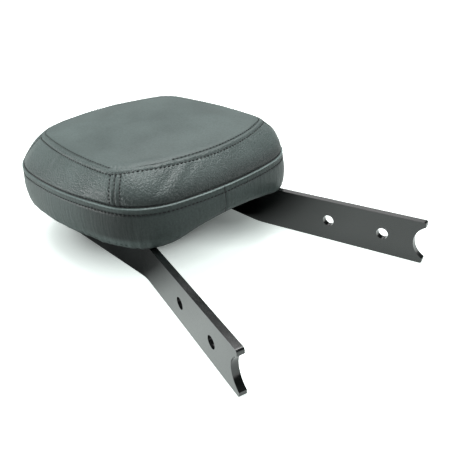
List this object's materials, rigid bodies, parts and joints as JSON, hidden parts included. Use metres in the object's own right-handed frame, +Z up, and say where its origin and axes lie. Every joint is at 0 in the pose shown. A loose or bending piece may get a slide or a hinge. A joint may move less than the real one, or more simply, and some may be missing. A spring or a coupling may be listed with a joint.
{
  "type": "motorcycle passenger backrest",
  "caption": "Upholstered motorcycle passenger backrest: a leather-covered pad on a bent flat-bar upright whose splayed legs end in fixing holes and half-round notches.",
  "frame": {"origin": "middle of the bounding box on the plane that the rear edge of the bar rests on", "axes": "+Z up out of the cushion face, +Y along the part to the top of the pad, X across the part, which is symmetric about X = 0"},
  "size_m": [0.2264, 0.3638, 0.1113],
  "materials": {
    "black_paint": "satin black paint",
    "leather": "smooth dark grey leather with a light sheen",
    "pan_plastic": "moulded black plastic",
    "foam": "cut foam, hidden",
    "zinc_steel": "zinc-plated steel"
  },
  "bodies": {
    "root": {"upright_bar": "black_paint", "pad_tab_left_low": "black_paint", "pad_tab_left_high": "black_paint", "pad_tab_right_low": "black_paint", "pad_tab_right_high": "black_paint", "tab_welds": "black_paint", "base_pan": "pan_plastic", "foam_core": "foam", "center_panel": "leather", "boxing_bottom": "leather", "boxing_left": "leather", "boxing_right": "leather", "boxing_top": "leather", "side_band": "leather", "tee_nuts": "zinc_steel", "pad_screws": "zinc_steel", "flat_washers": "zinc_steel", "spring_washers": "zinc_steel"}
  },
  "joints": []
}
